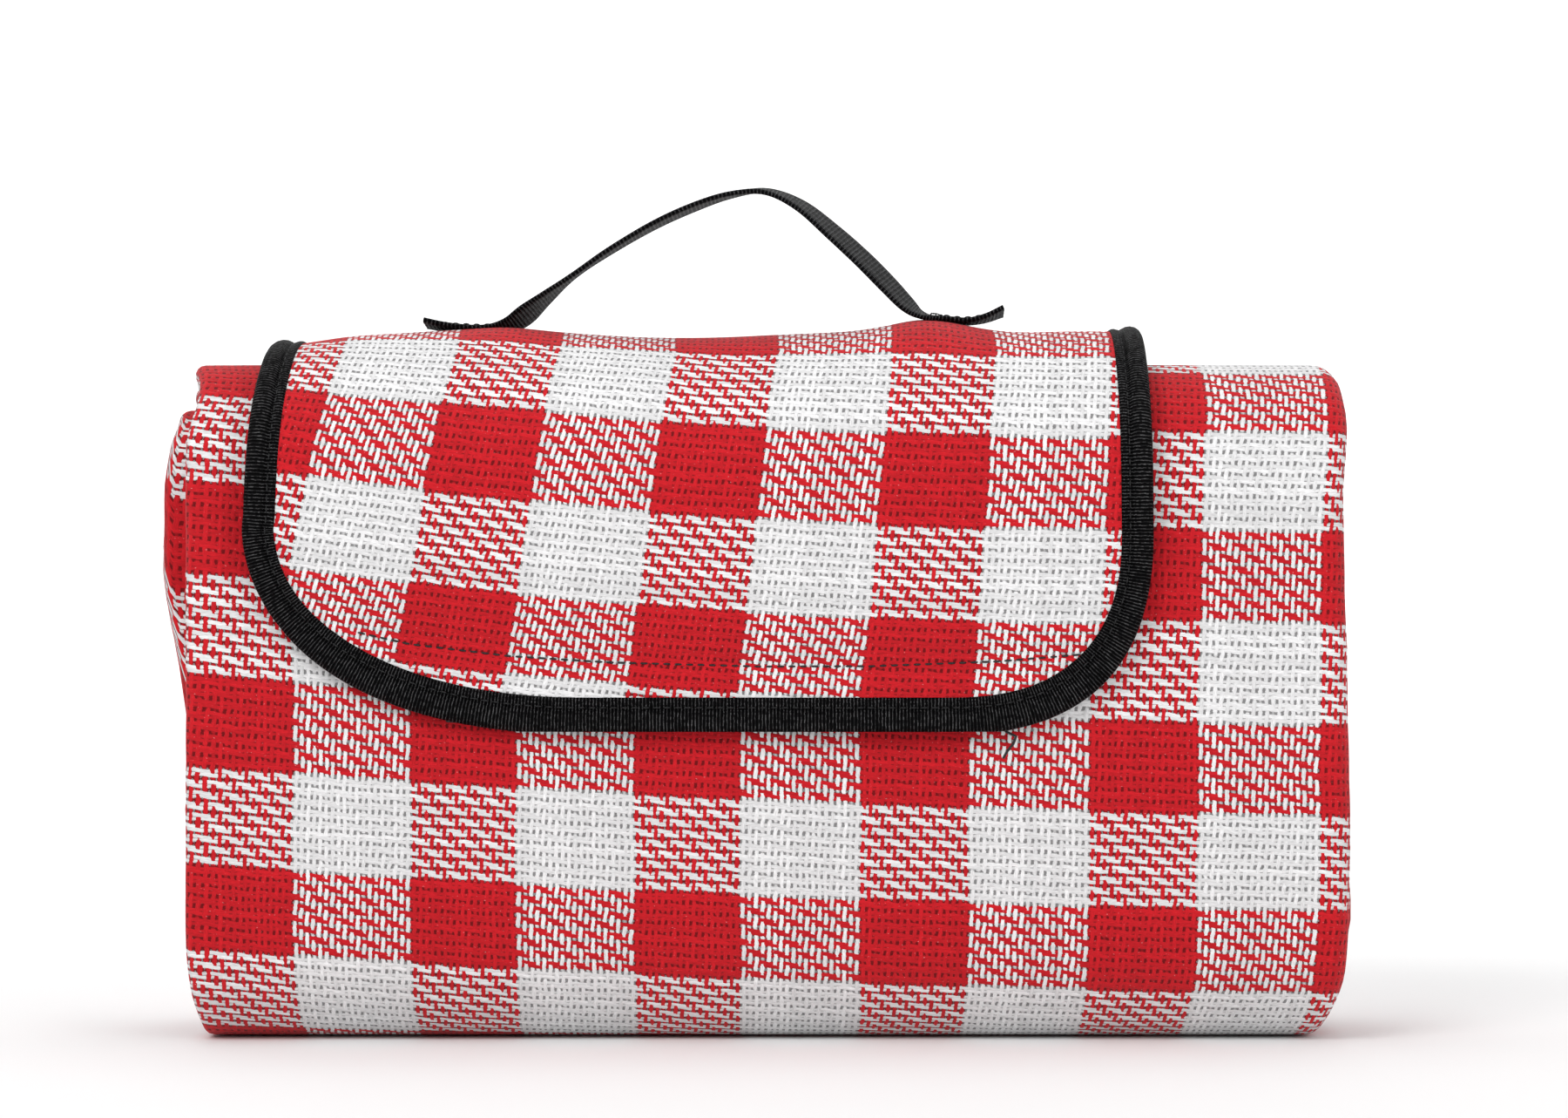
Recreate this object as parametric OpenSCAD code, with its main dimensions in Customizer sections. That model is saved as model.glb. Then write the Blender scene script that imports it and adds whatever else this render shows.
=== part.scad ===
// Picnic blanket, folded and rolled into its carrying packet, with a cover flap that closes on
// hook and loop and a webbing carry handle. Millimetres. +Z is up and the front faces -Y. The
// origin is the middle of the packet's footprint, on the surface that it stands on.

/* [Packet] */
// Width of the folded packet, from side fold to side fold
packet_w = 350; // [320:5:400]
// Height of the folded packet, without the flap over it
packet_h = 206; // [190:2:230]
// Pitch of the rolled panels, each one a strip of blanket four layers thick
panel_pitch = 14; // [14:0.5:16]
// Radius of the packet's bottom corners, at the middle of the outer strip
bottom_r = 22; // [18:1:28]

/* [Blanket layers] */
// Thickness of the woven face cloth
face_t = 1.3; // [0.9:0.1:1.3]
// Thickness of the foam wadding behind the face cloth
foam_t = 1.8; // [1.2:0.1:1.8]
// Thickness of the waterproof backing film
film_t = 0.3; // [0.2:0.1:0.3]
// Distance from the side fold to the hems that lie inside it
hem_inset = 7; // [6:1:12]

/* [Flap] */
// Width of the flap over its binding
flap_w = 272; // [240:2:290]
// How far the flap's middle is sewn from the packet's middle, negative to the left
flap_shift = -18.5; // [-25:0.5:0]
// Height of the flap's lower edge above the ground
flap_low = 95; // [80:1:120]
// Height of the flap's sewn edge on the back above the ground
root_low = 136; // [120:1:145]
// How far the flap's top stands above the packet's top
flap_rise = 10; // [9:0.5:14]
// Outer radius of the flap's bends at the packet's front and back top edges
bend_r = 47; // [42:1:50]
// Radius of the flap's lower left corner, seen from the front
corner_left = 58; // [30:1:60]
// Radius of the flap's lower right corner
corner_right = 44; // [30:1:60]

/* [Binding and closure] */
// Width of the binding tape on each face of the flap
bind_w = 10; // [8:0.5:12]
// Thickness of the binding tape
bind_t = 0.6; // [0.5:0.1:0.8]
// Thickness of the hook strip and of the loop strip, each
strip_t = 1.2; // [1:0.1:1.6]
// Length of the loop strip on the packet's front
loop_len = 180; // [150:5:200]
// Height of the loop strip
loop_h = 25; // [20:1:30]
// Length of the hook strip inside the flap
hook_len = 214; // [180:2:220]
// Height of the hook strip that shows below the flap's lining
hook_h = 15; // [12:1:18]

/* [Handle] */
// Width of the handle webbing
web_w = 25; // [20:1:30]
// Thickness of the handle webbing
web_t = 1.6; // [1.2:0.1:2]
// Place across the width where the handle rises on the left
rise_left = -76; // [-90:1:-70]
// Place across the width where the handle rises on the right
rise_right = 47; // [40:1:60]
// Place across the width of the handle's highest point
peak_x = 2; // [-10:1:5]
// Height of the handle's arch above the flap
arch_h = 44; // [38:1:50]
// Length of each sewn end that lies on the flap
tab_len = 28; // [24:1:36]
// Place across the width where the swinging strap is cut from the left sewn end
cut_left = -60; // [-62:1:-56]
// Place across the width where the swinging strap is cut from the right sewn end
cut_right = 39; // [34:1:40]

/* [Hidden] */

$fn = 96;
tiny = 0.01;
closure_gap = 0.3;          // room between the closed hook and loop strips
swing_gap = 0.5;            // room at each cut between two moving bodies
thread_t = 0.3;             // how far a seam's thread stands proud
thread_w = 0.7;
edge_wrap = 1;              // thickness of a binding around an edge

// The strip of blanket: two double layers, back to back
layer_t = face_t + foam_t + film_t;
layers_t = 4 * layer_t;
half_w = packet_w / 2;
hem_x = half_w - hem_inset;

// Where the packet and the flap lie, front to back
packet_half = 3 * panel_pitch + layers_t / 2;
front_room = 2 * strip_t + closure_gap;
packet_y = (front_room - bind_t) / 2;
flap_in = packet_half + (front_room + bind_t) / 2;
flap_out = flap_in + layer_t;

// The rolled turns
top_r = 2.5 * panel_pitch;
top_z = packet_h - top_r - layers_t / 2;
low_z = bottom_r + layers_t / 2;
inner_low_z = 3 * panel_pitch + layers_t / 2;
end_turn = 30;              // degrees that the outer end bends over the top
tuck_turn = 58;             // degrees that its inner double layer goes on to
end_r = 3.5 * panel_pitch;
roll_y = packet_y - panel_pitch / 2;

// The flap's plies, as distances from its middle plane
lining_y = [flap_in, flap_in + film_t];
foam_y = [lining_y[1], lining_y[1] + foam_t];
cloth_y = [foam_y[1], flap_out];
flap_left = flap_shift - flap_w / 2;
flap_right = flap_shift + flap_w / 2;
flap_top = packet_h + flap_rise;
bend_y = flap_out - bend_r;
bend_z = flap_top - bend_r;
root_corner = 14;

// The closure strips, which sit a little to the right of the flap's middle
loop_x = flap_shift + 12;
loop_z = flap_low + 2;
front_y = packet_y - packet_half;
hook_x = flap_shift + 7;
hook_z = flap_low + bind_w + 0.3;
seam_inset = 2.5;           // from the loop strip's edge to its seam
root_seam_gap = 6;          // between the two rows that sew the flap on

// The handle
foot = 0.8;                 // height of the strap's middle line where it meets the flap
tab_overlap = 1.5;          // how far a sewn end runs under the rising strap
box_margin = 3;             // from a sewn end's edge to its box of stitches
steps = 20;                 // straight stretches in each half of the arch

// ---------- shared shapes ----------

// A closed rectangle between two corners
module span(low, high) {
    translate(low) square(high - low);
}

// Sweeps a profile, offset along x and packet width along y, up a flat panel
module panel(y, z_from, z_to) {
    translate([0, y, z_from]) mirror([1, -1, 0]) linear_extrude(z_to - z_from) children();
}

// Sweeps the profile round a turn of the roll, from the back over the top
module turn(y, z, r, angle = 180, from = 0) {
    translate([0, y, z]) rotate([from, 0, 0]) rotate([90, 0, 90])
        rotate_extrude(angle = angle) translate([r, 0]) children();
}

// The whole roll: seven panels and their turns, from the core out to the free end
module roll() {
    p = panel_pitch;
    y = packet_y;
    panel(y, inner_low_z, top_z) children();
    for (k = [1, 2], side = [-1, 1]) panel(y + side * k * p, inner_low_z, top_z) children();
    for (side = [-1, 1]) panel(y + side * 3 * p, low_z, top_z) children();
    for (k = [0, 1, 2]) turn(roll_y, top_z, (k + 0.5) * p) children();
    for (k = [1, 2]) turn(y, inner_low_z, k * p, 180, 180) children();
    turn(y + 3 * p - bottom_r, low_z, bottom_r, 90, 270) children();
    turn(y - 3 * p + bottom_r, low_z, bottom_r, 90, 180) children();
    bottom_floor() children();
    turn(roll_y, top_z, end_r, end_turn) children();
    turn(roll_y, top_z, end_r, tuck_turn - end_turn, end_turn) intersection() {
        children();
        span([-layers_t, -half_w], [0, half_w]);
    }
}

// The flat of the outer strip that the packet stands on
module bottom_floor() {
    flat = 3 * panel_pitch - bottom_r;
    translate([0, packet_y - flat, layers_t / 2]) rotate([0, -90, -90])
        linear_extrude(2 * flat) children();
}

// A flap outline hanging from z_high to z_low, rounded below, shrunk by inset
module drop(z_low, z_high, r_left, r_right, inset) {
    left = [flap_left + r_left, z_low + r_left];
    right = [flap_right - r_right, z_low + r_right];
    intersection() {
        span([flap_left, z_low], [flap_right, z_high]);
        union() {
            span([left[0], z_low + inset], [right[0], z_high]);
            span([flap_left + inset, left[1]], [left[0] + tiny, z_high]);
            span([right[0] - tiny, right[1]], [flap_right - inset, z_high]);
            translate(left) circle(r_left - inset);
            translate(right) circle(r_right - inset);
        }
    }
}

module front_drop(inset) {
    drop(flap_low, bend_z - swing_gap, corner_left, corner_right, inset);
}

module back_drop(inset) {
    drop(root_low, bend_z, root_corner, root_corner, inset);
}

// Stands a flat outline up between two depths
module upright(y_from, y_to) {
    translate([0, y_to, 0]) rotate([90, 0, 0]) linear_extrude(y_to - y_from) children();
}

// A band of the flap over the packet, between two distances from its middle plane
module arch(y, x_from, x_to) {
    low = y[0] - bend_y;
    high = y[1] - bend_y;
    turn(bend_y, bend_z, 0, 90) span([low, x_from], [high, x_to]);
    turn(-bend_y, bend_z, 0, 90, 90) span([low, x_from], [high, x_to]);
    translate([x_from, -bend_y, bend_z + low]) cube([x_to - x_from, 2 * bend_y, high - low]);
}

// One ply of the flap's fixed part, over the top and down the back
module spine_ply(y) {
    arch(y, flap_left + edge_wrap, flap_right - edge_wrap);
    upright(y[0], y[1]) back_drop(edge_wrap);
}

// One ply of the flap's moving front
module front_ply(y) {
    upright(-y[1], -y[0]) front_drop(edge_wrap);
}

// A straight row of thread on the front or the back
module thread_row(x_from, x_to, y, z) {
    translate([x_from, y, z - thread_w / 2]) cube([x_to - x_from, thread_t, thread_w]);
}

// ---------- blanket ----------

module face_profile() {
    inner = layers_t / 2 - face_t;
    difference() {
        span([-layers_t / 2, -half_w], [layers_t / 2, half_w]);
        for (side = [0, 1]) mirror([side, 0])
            span([face_t, -half_w + face_t], [inner, half_w - face_t]);
        span([-inner, hem_x], [inner, half_w - face_t]);
    }
}

module foam_profile() {
    outer = layers_t / 2 - face_t;
    edge = half_w - face_t;
    for (side = [0, 1]) mirror([side, 0]) {
        span([outer - foam_t, -edge], [outer, edge]);
        span([face_t, -edge], [face_t + foam_t, hem_x]);
        span([face_t, -edge], [outer, -edge + foam_t]);
    }
    span([-outer, edge - foam_t], [outer, edge]);
}

module film_profile() {
    outer = layer_t + film_t;
    edge = half_w - face_t - foam_t;
    for (side = [0, 1]) mirror([side, 0]) {
        span([layer_t, -edge], [outer, edge]);
        span([layer_t - film_t, -edge], [layer_t + tiny, hem_x]);
    }
    span([-outer, edge - film_t], [outer, edge]);
}

module side_hem_profile() {
    reach = layer_t - film_t;
    span([-reach, hem_x], [reach, hem_x + 2.4]);
}

module blanket_face() {
    color([0.80, 0.10, 0.14]) roll() face_profile();
}

module blanket_foam() {
    color([0.92, 0.92, 0.90]) roll() foam_profile();
}

module blanket_film() {
    color([0.75, 0.76, 0.78]) roll() film_profile();
}

module side_hem_tape() {
    color([0.05, 0.05, 0.06]) roll() side_hem_profile();
}

// The tape that closes the blanket's outer end, one half step past the other behind the top
module end_hem_tape() {
    cap = edge_wrap / end_r * 180 / PI;
    half = layers_t / 2;
    color([0.05, 0.05, 0.06]) {
        turn(roll_y, top_z, end_r, cap, end_turn) span([0, -half_w], [half, half_w]);
        turn(roll_y, top_z, end_r, cap, tuck_turn) span([-half, -half_w], [0, half_w]);
    }
}

// The rounded hem that closes the blanket's inner end and fills the first turn of the roll
module core_hem_tape() {
    r = layers_t / 2;
    color([0.05, 0.05, 0.06])
        translate([-half_w, packet_y, inner_low_z]) rotate([90, 0, 90]) linear_extrude(packet_w)
            intersection() {
                circle(r);
                span([-r, -r], [r, 0]);
            }
}

// ---------- closure ----------

module loop_outline(inset) {
    half = loop_len / 2 - inset;
    span([loop_x - half, loop_z + inset], [loop_x + half, loop_z + loop_h - inset]);
}

module loop_strip() {
    color([0.04, 0.04, 0.05]) upright(front_y - strip_t, front_y) loop_outline(0);
}

module loop_seam() {
    y = front_y - strip_t;
    color([0.02, 0.02, 0.02])
        upright(y - closure_gap / 2, y) difference() {
            loop_outline(seam_inset);
            loop_outline(seam_inset + thread_w);
        }
}

module hook_strip() {
    color([0.04, 0.04, 0.05]) upright(-flap_in, -flap_in + strip_t) intersection() {
        span([hook_x - hook_len / 2, hook_z], [hook_x + hook_len / 2, hook_z + hook_h]);
        front_drop(bind_w + closure_gap);
    }
}

module hook_seam() {
    color([0.02, 0.02, 0.02])
        thread_row(hook_x - hook_len / 2, hook_x + hook_len / 2, -flap_out - thread_t,
                   hook_z + hook_h - seam_inset);
}

// ---------- flap, fixed part ----------

module spine_face() {
    color([0.85, 0.16, 0.20]) spine_ply(cloth_y);
}

module spine_foam() {
    color([0.92, 0.92, 0.90]) spine_ply(foam_y);
}

module spine_lining() {
    color([0.75, 0.76, 0.78]) spine_ply(lining_y);
}

module spine_binding() {
    inner = [flap_in - bind_t, flap_in];
    outer = [flap_out, flap_out + bind_t];
    color([0.05, 0.05, 0.06]) {
        for (x = [flap_left, flap_right - bind_w]) {
            arch(inner, x, x + bind_w);
            arch(outer, x, x + bind_w);
        }
        for (x = [flap_left, flap_right - edge_wrap])
            arch([inner[0], outer[1]], x, x + edge_wrap);
        for (y = [inner, outer]) upright(y[0], y[1]) difference() {
            back_drop(0);
            back_drop(bind_w);
        }
        upright(inner[0], outer[1]) difference() {
            back_drop(0);
            back_drop(edge_wrap);
        }
    }
}

// The two rows of thread that sew the flap to the blanket's free end
module root_seam() {
    color([0.02, 0.02, 0.02])
        for (up = [0, root_seam_gap])
            thread_row(flap_left + bind_w + seam_inset, flap_right - bind_w - seam_inset,
                       flap_out, root_low + bind_w + seam_inset + up);
}

// ---------- flap, moving front ----------

module flap_face() {
    color([0.85, 0.16, 0.20]) front_ply(cloth_y);
}

module flap_foam() {
    color([0.92, 0.92, 0.90]) front_ply(foam_y);
}

module flap_lining() {
    color([0.75, 0.76, 0.78]) front_ply(lining_y);
}

module flap_binding() {
    color([0.05, 0.05, 0.06]) {
        for (y = [-flap_out - bind_t, -flap_in]) upright(y, y + bind_t) difference() {
            front_drop(0);
            front_drop(bind_w);
        }
        upright(-flap_out - bind_t, -flap_in + bind_t) difference() {
            front_drop(0);
            front_drop(edge_wrap);
        }
    }
}

// ---------- handle ----------

function bezier(a, b, c, d, t) =
    pow(1 - t, 3) * a + 3 * pow(1 - t, 2) * t * b + 3 * (1 - t) * pow(t, 2) * c + pow(t, 3) * d;

function bezier_slope(a, b, c, d, t) =
    pow(1 - t, 2) * (b - a) + 2 * (1 - t) * t * (c - b) + pow(t, 2) * (d - c);

// The strap's middle line, left rise, peak and right rise, as [x, z] above the flap's top
strap_left = [[rise_left, foot], [rise_left + 26, 22], [peak_x - 24, arch_h], [peak_x, arch_h]];
strap_right = [[peak_x, arch_h], [peak_x + 18, arch_h], [rise_right - 17, 30], [rise_right, foot]];

function strap_side(c, side) = [
    for (k = [0 : steps])
        let (
            t = k / steps,
            at = bezier(c[0], c[1], c[2], c[3], t),
            along = bezier_slope(c[0], c[1], c[2], c[3], t),
            across = [-along[1], along[0]] / norm(along)
        )
        at + side * across * web_t / 2
];

function reversed(list) = [for (k = [len(list) - 1 : -1 : 0]) list[k]];

module strap_outline() {
    upper = concat(strap_side(strap_left, 1), strap_side(strap_right, 1));
    lower = concat(strap_side(strap_left, -1), strap_side(strap_right, -1));
    translate([0, flap_top]) polygon(concat(upper, reversed(lower)));
}

module strap_between(x_from, x_to) {
    upright(-web_w / 2, web_w / 2) intersection() {
        strap_outline();
        span([x_from, flap_top], [x_to, flap_top + arch_h + 10]);
    }
}

// A sewn end lies on the flap's top
module tab_plate(x_from) {
    translate([x_from, -web_w / 2, flap_top]) cube([tab_len, web_w, web_t]);
}

module handle_tab_left() {
    color([0.06, 0.06, 0.07]) {
        tab_plate(rise_left - tab_len + tab_overlap);
        strap_between(rise_left - 5, cut_left);
    }
}

module handle_tab_right() {
    color([0.06, 0.06, 0.07]) {
        tab_plate(rise_right - tab_overlap);
        strap_between(cut_right, rise_right + 5);
    }
}

// A box of stitches through each sewn end
module tab_seams() {
    size = [tab_len - 3 * box_margin, web_w - 2 * box_margin];
    color([0.02, 0.02, 0.02])
        for (x = [rise_left - tab_len + tab_overlap + box_margin, rise_right + box_margin])
            translate([x, -size[1] / 2, flap_top + web_t]) linear_extrude(thread_t) difference() {
                square(size);
                translate([thread_w, thread_w]) square(size - 2 * [thread_w, thread_w]);
            }
}

module handle_strap() {
    color([0.06, 0.06, 0.07]) strap_between(cut_left + swing_gap, cut_right - swing_gap);
}

blanket_face();
blanket_foam();
blanket_film();
side_hem_tape();
end_hem_tape();
core_hem_tape();
loop_strip();
loop_seam();
spine_face();
spine_foam();
spine_lining();
spine_binding();
root_seam();
handle_tab_left();
handle_tab_right();
tab_seams();
flap_face();
flap_foam();
flap_lining();
flap_binding();
hook_strip();
hook_seam();
handle_strap();
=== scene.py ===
"""A gingham picnic blanket, folded in four and rolled, with a bound cover flap and a carry handle.

Lengths in this script are millimetres until a mesh is made, in the frame of the CAD model.
"""
import math

import bmesh
import bpy
import numpy as np
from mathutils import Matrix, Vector, noise


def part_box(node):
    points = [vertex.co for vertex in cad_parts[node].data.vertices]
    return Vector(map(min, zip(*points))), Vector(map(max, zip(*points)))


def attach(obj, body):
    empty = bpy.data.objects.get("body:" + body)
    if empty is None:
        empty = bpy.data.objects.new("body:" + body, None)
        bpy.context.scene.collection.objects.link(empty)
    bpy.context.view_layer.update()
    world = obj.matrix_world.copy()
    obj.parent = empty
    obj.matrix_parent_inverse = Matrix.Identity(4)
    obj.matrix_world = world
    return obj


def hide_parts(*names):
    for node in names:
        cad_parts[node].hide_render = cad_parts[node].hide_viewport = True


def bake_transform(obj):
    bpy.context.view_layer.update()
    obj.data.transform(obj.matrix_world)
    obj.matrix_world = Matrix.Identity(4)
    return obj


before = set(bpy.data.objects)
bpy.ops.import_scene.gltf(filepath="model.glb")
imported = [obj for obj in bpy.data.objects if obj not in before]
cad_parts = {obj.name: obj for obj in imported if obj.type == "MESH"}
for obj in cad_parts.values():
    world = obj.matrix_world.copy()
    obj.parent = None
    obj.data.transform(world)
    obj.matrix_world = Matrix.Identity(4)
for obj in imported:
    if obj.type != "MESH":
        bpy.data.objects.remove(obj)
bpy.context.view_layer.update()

MM = 0.001


def box_mm(node):
    """A CAD node's lowest and highest corners, in millimetres."""
    low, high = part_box(node)
    return np.array(low) / MM, np.array(high) / MM


PACK_LO, PACK_HI = box_mm("blanket_face")
SPINE_LO, SPINE_HI = box_mm("spine_binding")
FLAP_LO, FLAP_HI = box_mm("flap_binding")
LOOP_LO, LOOP_HI = box_mm("loop_strip")
HOOK_LO, HOOK_HI = box_mm("hook_strip")

# ---------- the cloth ----------

END = 1.885                 # spacing of the warp ends
PAIR = 3.41                 # spacing of the weft picks, which lie in pairs
ENDS_WHITE, ENDS_ALL = 19, 36
PAIRS_WHITE, PAIRS_ALL = 9, 17
UV_UNIT = 100.0             # ends and pairs, or millimetres on tape, in one unit of the UV map
LAYER = 3.4                 # thickness of cloth, foam and film together

# ---------- meshes ----------


def finish_mesh(name, points, faces, uvs, material):
    """Makes an object of points in millimetres, quads and one UV for each face corner."""
    mesh = bpy.data.meshes.new(name)
    mesh.from_pydata((np.asarray(points) * MM).tolist(), [], faces.tolist())
    layer = mesh.uv_layers.new(name="cloth")
    layer.data.foreach_set("uv", np.asarray(uvs, np.float32).ravel())
    mesh.polygons.foreach_set("use_smooth", [True] * len(mesh.polygons))
    mesh.materials.append(material)
    mesh.validate()
    mesh.update()
    obj = bpy.data.objects.new(name, mesh)
    bpy.context.scene.collection.objects.link(obj)
    return obj


def grid_faces(rows, cols, closed_rows=False, closed_cols=False):
    """Quads of a grid of points, and for each corner its place in a grid of UVs."""
    down, right = np.meshgrid(
        np.arange(rows if closed_rows else rows - 1),
        np.arange(cols if closed_cols else cols - 1),
        indexing="ij",
    )
    corners = []
    uv_corners = []
    for step_down, step_right in ((0, 0), (1, 0), (1, 1), (0, 1)):
        r = down + step_down
        c = right + step_right
        corners.append(((r % rows) * cols + c % cols).ravel())
        uv_corners.append((r * (cols + 1) + c).ravel())
    return np.stack(corners, 1), np.stack(uv_corners, 1)


def grid_object(name, points, uvs, material, closed_rows=False, closed_cols=False, flip=False):
    """A sheet or tube from a grid of points. A tube's uvs need one more row or column."""
    rows, cols = points.shape[:2]
    faces, uv_faces = grid_faces(rows, cols, closed_rows, closed_cols)
    if flip:
        faces = faces[:, ::-1]
        uv_faces = uv_faces[:, ::-1]
    full = np.zeros((rows + 1, cols + 1, 2))
    given_rows, given_cols = uvs.shape[:2]
    full[:given_rows, :given_cols] = uvs
    corner_uvs = full.reshape(-1, 2)[uv_faces.ravel()]
    return finish_mesh(name, points.reshape(-1, 3), faces, corner_uvs, material)


def tube_uvs(rows, cols, row_length, col_length):
    """UVs in millimetres for a grid, closed or open."""
    v, u = np.meshgrid(
        np.linspace(0, row_length, rows + 1), np.linspace(0, col_length, cols + 1), indexing="ij"
    )
    return np.stack((u, v), 2) / UV_UNIT


def run_length(points):
    """Distance along a row of points, from its first."""
    steps = np.linalg.norm(np.diff(points, axis=0), axis=1)
    return np.concatenate(([0.0], np.cumsum(steps)))


def resample(points, spacing, closed=False):
    """Points evenly spaced along a line."""
    if closed:
        points = np.vstack((points, points[:1]))
    along = run_length(points)
    count = max(2, round(along[-1] / spacing))
    places = np.linspace(0, along[-1], count + 1)
    out = np.stack([np.interp(places, along, points[:, k]) for k in range(points.shape[1])], 1)
    return out[:-1] if closed else out


def smooth_step(low, high, value):
    """0 up to low, 1 from high, and smooth between."""
    t = np.clip((value - low) / (high - low), 0, 1)
    return t * t * (3 - 2 * t)


def hump(value, centre, width):
    """A bell of height 1 round a centre."""
    return np.exp(-(((value - centre) / width) ** 2))


def ripple(a, b, seed, scale):
    """Smooth noise from about -1 to 1 over two coordinates."""
    a = np.asarray(a, float)
    b = np.broadcast_to(np.asarray(b, float), a.shape)
    flat = [
        noise.noise(Vector((p / scale, q / scale, seed * 7.31)))
        for p, q in zip(a.ravel(), b.ravel())
    ]
    return np.array(flat).reshape(a.shape)


# ---------- materials ----------


class Paint:
    """One material, built from short calls."""

    def __init__(self, name):
        self.material = bpy.data.materials.new(name)
        self.material.use_nodes = True
        self.tree = self.material.node_tree
        self.tree.nodes.clear()

    def add(self, kind, inputs=(), **settings):
        """A node, with each input linked to a socket or set to a constant."""
        node = self.tree.nodes.new(kind)
        for key, value in settings.items():
            setattr(node, key, value)
        for key, value in dict(inputs).items():
            if isinstance(value, bpy.types.NodeSocket):
                self.tree.links.new(value, node.inputs[key])
            else:
                node.inputs[key].default_value = value
        return node

    def math(self, operation, a, b=0.0, c=0.0):
        """One step of arithmetic on numbers or sockets."""
        node = self.add("ShaderNodeMath", {0: a, 1: b, 2: c}, operation=operation)
        return node.outputs[0]

    def ramp(self, value, low, high, out_low=0.0, out_high=1.0):
        """A smooth step of value between two places."""
        node = self.add(
            "ShaderNodeMapRange",
            {"Value": value, "From Min": low, "From Max": high, "To Min": out_low,
             "To Max": out_high},
            interpolation_type="SMOOTHSTEP",
        )
        return node.outputs[0]

    def mix(self, factor, a, b, kind="MIX"):
        node = self.add("ShaderNodeMix", {0: factor, 6: a, 7: b}, data_type="RGBA", blend_type=kind)
        return node.outputs[2]

    def vector(self, x, y, z=0.0):
        return self.add("ShaderNodeCombineXYZ", {0: x, 1: y, 2: z}).outputs[0]

    def noise(self, vector, scale, detail=2.0):
        return self.add(
            "ShaderNodeTexNoise", {"Vector": vector, "Scale": scale, "Detail": detail}
        ).outputs[0]

    def random(self, vector):
        """A number from 0 to 1 that belongs to a place."""
        return self.add("ShaderNodeTexWhiteNoise", {"Vector": vector}).outputs[0]

    def cloth_place(self):
        """The two UV coordinates, in ends and pairs or in millimetres."""
        split = self.add(
            "ShaderNodeSeparateXYZ", {0: self.add("ShaderNodeUVMap", uv_map="cloth").outputs[0]}
        )
        return [self.math("MULTIPLY", split.outputs[k], UV_UNIT) for k in (0, 1)]

    def grey(self, value):
        return self.vector(value, value, value)

    def shade(self, colour, factor):
        """A colour made lighter or darker by a number."""
        return self.mix(1.0, colour, self.grey(factor), "MULTIPLY")

    def finish(self, colour, height=None, depth=0.3, strength=1.0, roughness=0.8, sheen=0.0,
               specular=0.3):
        """The material, with bumps that are depth millimetres deep."""
        shader = self.add(
            "ShaderNodeBsdfPrincipled",
            {"Base Color": colour, "Roughness": roughness, "Sheen Weight": sheen,
             "Sheen Roughness": 0.5, "Specular IOR Level": specular},
        )
        if height is not None:
            bump = self.add(
                "ShaderNodeBump", {"Height": height, "Distance": depth * MM, "Strength": strength}
            )
            self.tree.links.new(bump.outputs[0], shader.inputs["Normal"])
        output = self.add("ShaderNodeOutputMaterial")
        self.tree.links.new(shader.outputs[0], output.inputs[0])
        return self.material


RED = (0.56, 0.010, 0.017, 1)
WHITE = (0.80, 0.795, 0.80, 1)
LINT = (0.80, 0.62, 0.62, 1)
WARP_HALF = 0.285           # half a warp end's width, in ends
WEFT_HALF = 0.162           # half a weft pick's width, in pairs
PICK_LOW, PICK_STEP = 0.345, 0.31       # a pair's first pick, and the step to its second
YARN_WAVE = 0.62            # how far a yarn rises and dives
WANDERS = (                 # slow and quick drift of the yarns: stretch, reach in ends and pairs
    (0.16, 0.9, 0.28),
    (1.1, 0.34, 0.16),
)


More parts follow.
